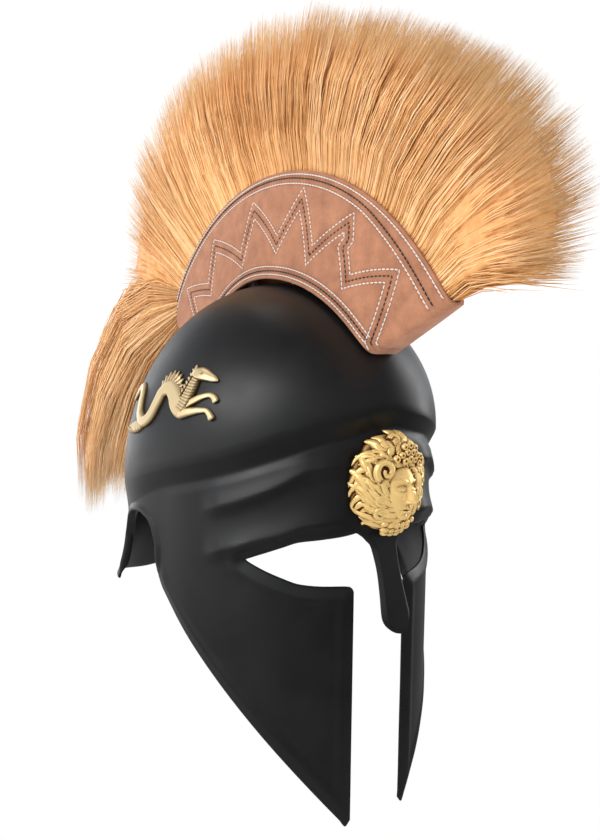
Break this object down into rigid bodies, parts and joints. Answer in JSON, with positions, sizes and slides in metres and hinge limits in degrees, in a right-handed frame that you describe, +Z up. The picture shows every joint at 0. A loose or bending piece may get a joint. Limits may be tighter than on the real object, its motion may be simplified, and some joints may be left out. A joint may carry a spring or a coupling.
{
  "type": "crested corinthian helmet",
  "caption": "Crested Corinthian-style helmet with nose guard, pointed cheek guards, gilt head and sea dragons, and a stitched leather crest holder gripping a fibre plume and tail",
  "frame": {"origin": "the inside of the crown, at the middle of the head hollow's roof, where the helmet sits on a head", "axes": "+Z up as worn, -Y the way the wearer faces, +X the wearer's left"},
  "size_m": [0.2106, 0.5927, 0.5222],
  "materials": {
    "shell": "satin black over sheet steel",
    "gilt": "polished gilt casting with darker recesses",
    "leather": "undyed suede with white and black stitching",
    "plume_fibre": "straight natural fibre, golden tan with pale tips",
    "stud": "plain hidden post"
  },
  "bodies": {
    "root": {"helmet_shell": "shell", "brow_head": "gilt", "dragon_left": "gilt", "dragon_right": "gilt", "crest_holder": "leather", "crest_plume": "plume_fibre", "crest_stud_1": "stud", "crest_stud_2": "stud"}
  },
  "joints": []
}
